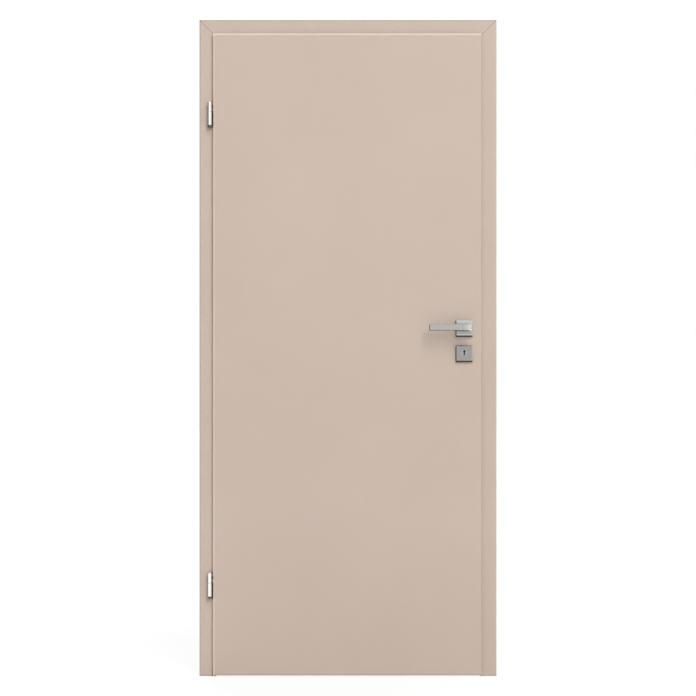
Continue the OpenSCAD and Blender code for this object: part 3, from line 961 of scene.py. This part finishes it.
@dataclass
class CrossScrew:
    """A countersunk screw with a cross recess, its head level with the plate that it holds.

    Attributes:
        head: Radius of the head.
        shank: Share of that radius at the head's lower end.
        depth: Depth of the head.
        recess: Radius of the cross.
        sunk: Share of the head's depth that the cross goes down.
        waist: Share of the cross's radius at its floor, between two arms.
        arm: What an arm adds to that share.
        sides: Number of sides of the head, a multiple of the four arms.
    """

    head: float = 3.6 * MM
    shank: float = 0.45
    depth: float = 1.6 * MM
    recess: float = 1.9 * MM
    sunk: float = 0.55
    waist: float = 0.35
    arm: float = 0.55
    sides: int = 40

    def into(self, mesh: bmesh.types.BMesh, place: Vector, outward: Vector) -> None:
        """Adds one screw to a mesh.

        Args:
            mesh: The mesh that takes it.
            place: Middle of the head's face.
            outward: Direction that the head faces.
        """
        turn = outward.to_track_quat("Z", "Y").to_matrix().to_4x4()
        made = bmesh.ops.create_cone(
            mesh, cap_ends=True, segments=self.sides, radius1=self.head * self.shank,
            radius2=self.head, depth=self.depth, matrix=Matrix.Translation((0, 0, -self.depth / 2)))
        verts = set(made["verts"])
        faces = {face for vert in verts for face in vert.link_faces}
        top = max(faces, key=lambda face: face.calc_center_median().z)
        ring = bmesh.ops.inset_individual(mesh, faces=[top], thickness=self.head - self.recess)
        verts.update(vert for face in ring["faces"] for vert in face.verts)
        floor = bmesh.ops.extrude_discrete_faces(mesh, faces=[top])["faces"][0]
        verts.update(floor.verts)
        middle = floor.calc_center_median()
        bmesh.ops.translate(mesh, vec=(0, 0, -self.depth * self.sunk), verts=floor.verts)
        quarter = self.sides // 4
        for number, vert in enumerate(floor.verts):
            # 1 at the middle of an arm and 0 halfway between two arms
            reach = (2 * (number % quarter) / quarter - 1) ** 2
            vert.co.xy = middle.xy + (vert.co.xy - middle.xy) * (self.waist + self.arm * reach)
        bmesh.ops.transform(mesh, matrix=Matrix.Translation(place) @ turn, verts=list(verts))


def screw_pair(low: Vector, high: Vector, outward: Vector, inset: float) -> bmesh.types.BMesh:
    """Makes the two screws of an upright plate.

    Args:
        low: Lowest corner of the plate.
        high: Highest corner of the plate.
        outward: Direction that the plate faces, along X.
        inset: Distance from each end of the plate to its screw.

    Returns:
        A mesh with both screws.
    """
    mesh = bmesh.new()
    face = high.x if outward.x > 0 else low.x
    for height in (low.z + inset, high.z - inset):
        CrossScrew().into(mesh, Vector((face, (low.y + high.y) / 2, height)), outward)
    return mesh


@dataclass
class LiningFrame:
    """Lining, architraves, seals and strike plate.

    Attributes:
        finishes: The finishes.
        screw_inset: Distance from the end of the strike plate to its screws.
    """

    finishes: Finishes
    screw_inset: float = 12 * MM
    BODY: ClassVar[str] = "frame"

    def build(self) -> None:
        """Dresses the frame and adds the screws of the strike plate."""
        sides = ("hinge", "lock", "head")
        boards = [f"{side}_{face}_architrave" for side in sides for face in ("front", "back")]
        dress(self.finishes.lining, boards + ["hinge_jamb_lining", "lock_jamb_lining", "head_lining"])
        dress(self.finishes.seal, ["hinge_jamb_seal", "lock_jamb_seal", "head_seal"])
        dress(self.finishes.steel, ["strike_plate"])
        self.strike_screws()

    def strike_screws(self) -> None:
        """Adds the two screws of the strike plate."""
        low, high = map(Vector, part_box("strike_plate"))
        mesh = screw_pair(low, high, Vector((-1, 0, 0)), self.screw_inset)
        add_piece("strike_screws", mesh, self.finishes.steel, self.BODY)


@dataclass
class DoorLeaf:
    """Core and facings of the leaf.

    Attributes:
        finishes: The finishes.
    """

    finishes: Finishes

    def build(self) -> None:
        """Dresses the leaf."""
        dress(self.finishes.leaf, ["leaf_core", "leaf_front_facing", "leaf_back_facing"])


@dataclass
class Hinges:
    """The two barrel hinges with their receivers.

    Attributes:
        finishes: The finishes.
    """

    finishes: Finishes

    def build(self) -> None:
        """Dresses both hinges."""
        for level in ("upper", "lower"):
            dress(self.finishes.bright, [f"{level}_hinge_frame_part", f"{level}_hinge_leaf_part"])
            dress(self.finishes.zinc, [f"{level}_hinge_receiver"])


@dataclass
class MortiseLock:
    """Forend, case and bolts of the lock.

    Attributes:
        finishes: The finishes.
        screw_inset: Distance from the end of the forend to its screws.
    """

    finishes: Finishes
    screw_inset: float = 14 * MM
    BODY: ClassVar[str] = "leaf"

    def build(self) -> None:
        """Dresses the lock and adds the screws of the forend."""
        dress(self.finishes.steel, ["lock_forend", "latch_bolt", "dead_bolt"])
        dress(self.finishes.zinc, ["lock_case"])
        low, high = map(Vector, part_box("lock_forend"))
        mesh = screw_pair(low, high, Vector((1, 0, 0)), self.screw_inset)
        add_piece("forend_screws", mesh, self.finishes.steel, self.BODY)


@dataclass
class HandleSet:
    """Levers, roses and keyhole inserts on both sides.

    Attributes:
        finishes: The finishes.
    """

    finishes: Finishes

    def build(self) -> None:
        """Dresses the handle set."""
        for side in ("front", "back"):
            dress(self.finishes.nickel, [f"{side}_lever"])
            dress(self.finishes.rose, [f"{side}_lever_rose", f"{side}_key_rose"])
            dress(self.finishes.insert, [f"{side}_keyhole_insert"])
        dress(self.finishes.steel, ["spindle"])


@dataclass
class Studio:
    """Plain pale floor, soft light and the camera.

    Attributes:
        distance: From the front of the frame to the camera.
        sensor: Width of the camera's sensor in millimetres.
        view_width: Width that the picture covers at the front of the frame.
        floor_size: Side of the floor.
        floor_tone: Brightness of the floor's paint.
        floor_glow: Brightness of the floor where it fades into the white.
        fade: Share of that glow near the door and far from it.
        fade_reach: Distances from the middle of the floor where the glow starts to grow and stops.
        key_power: Power of the main lamp.
        back_power: Power of the lamp behind the door.
        lamp_width: Width of a lamp's face.
        lamp_height: Height of a lamp's face.
        lamp_place: From the middle of the door to the main lamp. The other one is on the other side.
        fill: Strength of the soft light from all round.
        left_wall: Brightness of the left wall in metal.
        left_end: Part of a ray's direction to the right where the left wall is, and where it ends.
        right_wall: Brightness of the right wall in metal.
        right_end: The same part where the right wall begins, and where it is brightest.
    """

    distance: float = 5.0
    sensor: float = 36.0
    view_width: float = 2.197
    floor_size: float = 30.0
    floor_tone: float = 0.9
    floor_glow: float = 1.04
    fade: Range = (0.85, 1.0)
    fade_reach: Range = (0.6, 1.4)
    key_power: float = 530.0
    back_power: float = 420.0
    lamp_width: float = 3.0
    lamp_height: float = 7.5
    lamp_place: tuple[float, float, float] = (3.0, -7.8, 5.7)
    fill: float = 0.465
    left_wall: float = 0.04
    left_end: Range = (-0.97, -0.9)
    right_wall: float = 1.15
    right_end: Range = (0.15, 0.5)

    def build(self, low: Vector, high: Vector) -> None:
        """Makes the studio round the door.

        Args:
            low: Lowest corner of the door.
            high: Highest corner of the door.
        """
        self.camera(low, high)
        self.world()
        self.lamps(low, high)
        self.floor()

    def camera(self, low: Vector, high: Vector) -> None:
        """Places the camera straight in front of the frame.

        Args:
            low: Lowest corner of the door.
            high: Highest corner of the door.
        """
        data = bpy.data.cameras.new("camera")
        data.sensor_width = self.sensor
        data.lens = self.sensor * self.distance / self.view_width
        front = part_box("head_front_architrave")[0][1]
        camera = bpy.data.objects.new("camera", data)
        camera.location = ((low.x + high.x) / 2, front - self.distance, (low.z + high.z) / 2)
        camera.rotation_euler = (math.pi / 2, 0, 0)
        bpy.context.scene.collection.objects.link(camera)
        bpy.context.scene.camera = camera

    def world(self) -> None:
        """Surrounds the door with even soft light and white walls.

        The camera sees white. Metal sees white walls before and behind the door, a brighter one to the right
        and a dark one to the left.
        """
        sky = SkyBench("studio")
        camera, mirrored = sky.rays()
        across = sky.axes(sky.place)[0]
        left = sky.spread(across, self.left_wall, 1.0, *self.left_end)
        walls = sky.spread(across, left, self.right_wall, *self.right_end)
        lit = sky.spread(mirrored, self.fill, walls, 0.0, 1.0)
        seen = sky.join("MAXIMUM", lit, camera)
        light = sky.node("ShaderNodeBackground", {"Color": (1, 1, 1, 1), "Strength": seen})
        sky.tree.links.new(light.outputs[0], sky.output.inputs["Surface"])

    def lamps(self, low: Vector, high: Vector) -> None:
        """Hangs one tall soft lamp to the upper right in front of the door and a weaker one opposite.

        Args:
            low: Lowest corner of the door.
            high: Highest corner of the door.
        """
        aim = (low + high) / 2
        right, forward, up = self.lamp_place
        for name, power, side in (("key", self.key_power, 1), ("back", self.back_power, -1)):
            data = bpy.data.lights.new(name, "AREA")
            data.shape = "RECTANGLE"
            data.size = self.lamp_width
            data.size_y = self.lamp_height
            data.energy = power
            lamp = bpy.data.objects.new(name, data)
            lamp.location = aim + Vector((right * side, forward * side, up))
            lamp.visible_glossy = False
            lamp.rotation_euler = (aim - lamp.location).to_track_quat("-Z", "Y").to_euler()
            bpy.context.scene.collection.objects.link(lamp)

    def floor(self) -> None:
        """Lays a pale floor that keeps the door's shadow and fades into the white behind it."""
        mesh = bmesh.new()
        bmesh.ops.create_grid(mesh, x_segments=1, y_segments=1, size=self.floor_size / 2)
        data = bpy.data.meshes.new("floor")
        mesh.to_mesh(data)
        mesh.free()
        floor = bpy.data.objects.new("floor", data)
        bpy.context.scene.collection.objects.link(floor)
        data.materials.append(self.floor_paint())
        floor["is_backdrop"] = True

    def floor_paint(self) -> bpy.types.Material:
        """Makes the floor's material.

        Returns:
            The material.
        """
        bench = Bench("floor_paint")
        matt = bench.node("ShaderNodeBsdfDiffuse", {"Color": (*[self.floor_tone] * 3, 1.0)})
        glow = bench.node("ShaderNodeEmission", {"Color": (1, 1, 1, 1), "Strength": self.floor_glow})
        camera, mirrored = bench.rays()
        seen = bench.join("MAXIMUM", mirrored, camera)
        reach = bench.node("ShaderNodeVectorMath", {0: bench.place}, operation="LENGTH").outputs["Value"]
        share = bench.join("MULTIPLY", bench.spread(reach, *self.fade, *self.fade_reach), seen)
        both = bench.node("ShaderNodeMixShader", {0: share, 1: matt.outputs[0], 2: glow.outputs[0]})
        bench.tree.links.new(both.outputs[0], bench.output.inputs["Surface"])
        return bench.material


def main() -> None:
    """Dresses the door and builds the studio."""
    logging.basicConfig(level=logging.INFO, format="%(name)s: %(message)s")
    cad_low, cad_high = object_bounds()
    bpy.context.scene.view_settings.view_transform = "Standard"
    finishes = Finishes()
    for part in (LiningFrame(finishes), DoorLeaf(finishes), Hinges(finishes), MortiseLock(finishes),
                 HandleSet(finishes)):
        part.build()
    Studio().build(cad_low, cad_high)


if __name__ == "__main__":
    main()
